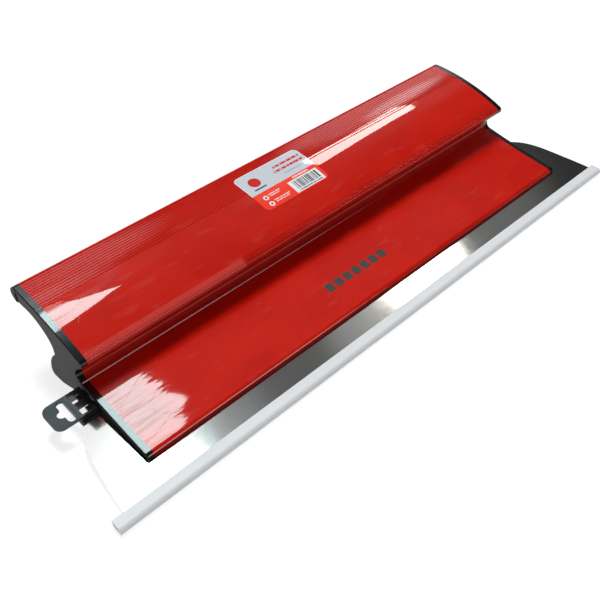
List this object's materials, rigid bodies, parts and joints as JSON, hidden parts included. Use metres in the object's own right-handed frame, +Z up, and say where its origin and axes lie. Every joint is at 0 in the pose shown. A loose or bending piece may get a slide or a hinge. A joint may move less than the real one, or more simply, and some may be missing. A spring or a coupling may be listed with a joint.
{
  "type": "skimming blade",
  "caption": "Long thin steel finishing blade clamped in a hollow aluminium grip profile with moulded end caps, pull-off blade guard and hang tab.",
  "frame": {"origin": "middle of the bottom of the box, on the surface that the tool lies on with its guard on", "axes": "+X along the blade, away from the end that has the hang tab; +Y from the blade's edge towards the grip; +Z up from the surface that the tool rests on"},
  "size_m": [0.408, 0.1346, 0.0536],
  "materials": {
    "red_paint": "gloss red coating on extruded aluminium",
    "blade_steel": "finely ground and polished stainless steel",
    "raw_aluminium": "mill finish",
    "screw_steel": "zinc plated",
    "black_plastic": "moulded, gloss rim and matt end face",
    "guard_plastic": "milky translucent extrusion",
    "tab_plastic": "fine moulded satin",
    "label_paper": "coated label stock"
  },
  "bodies": {
    "tool": {"handle_extrusion": "red_paint", "blade": "blade_steel", "clamp_bar": "raw_aluminium", "clamp_screws": "screw_steel", "left_end_cap": "black_plastic", "right_end_cap": "black_plastic", "label_sticker": "label_paper"},
    "guard": {"blade_guard": "guard_plastic"},
    "hanger": {"hang_tab": "tab_plastic"}
  },
  "joints": [
    {"name": "guard_pull", "type": "slide", "parent": "tool", "child": "guard", "axis": [0, -0.994, -0.1098], "range_m": [0, 0.02]},
    {"name": "hanger_pull", "type": "slide", "parent": "tool", "child": "hanger", "axis": [-1, 0, 0], "range_m": [0, 0.016]}
  ]
}
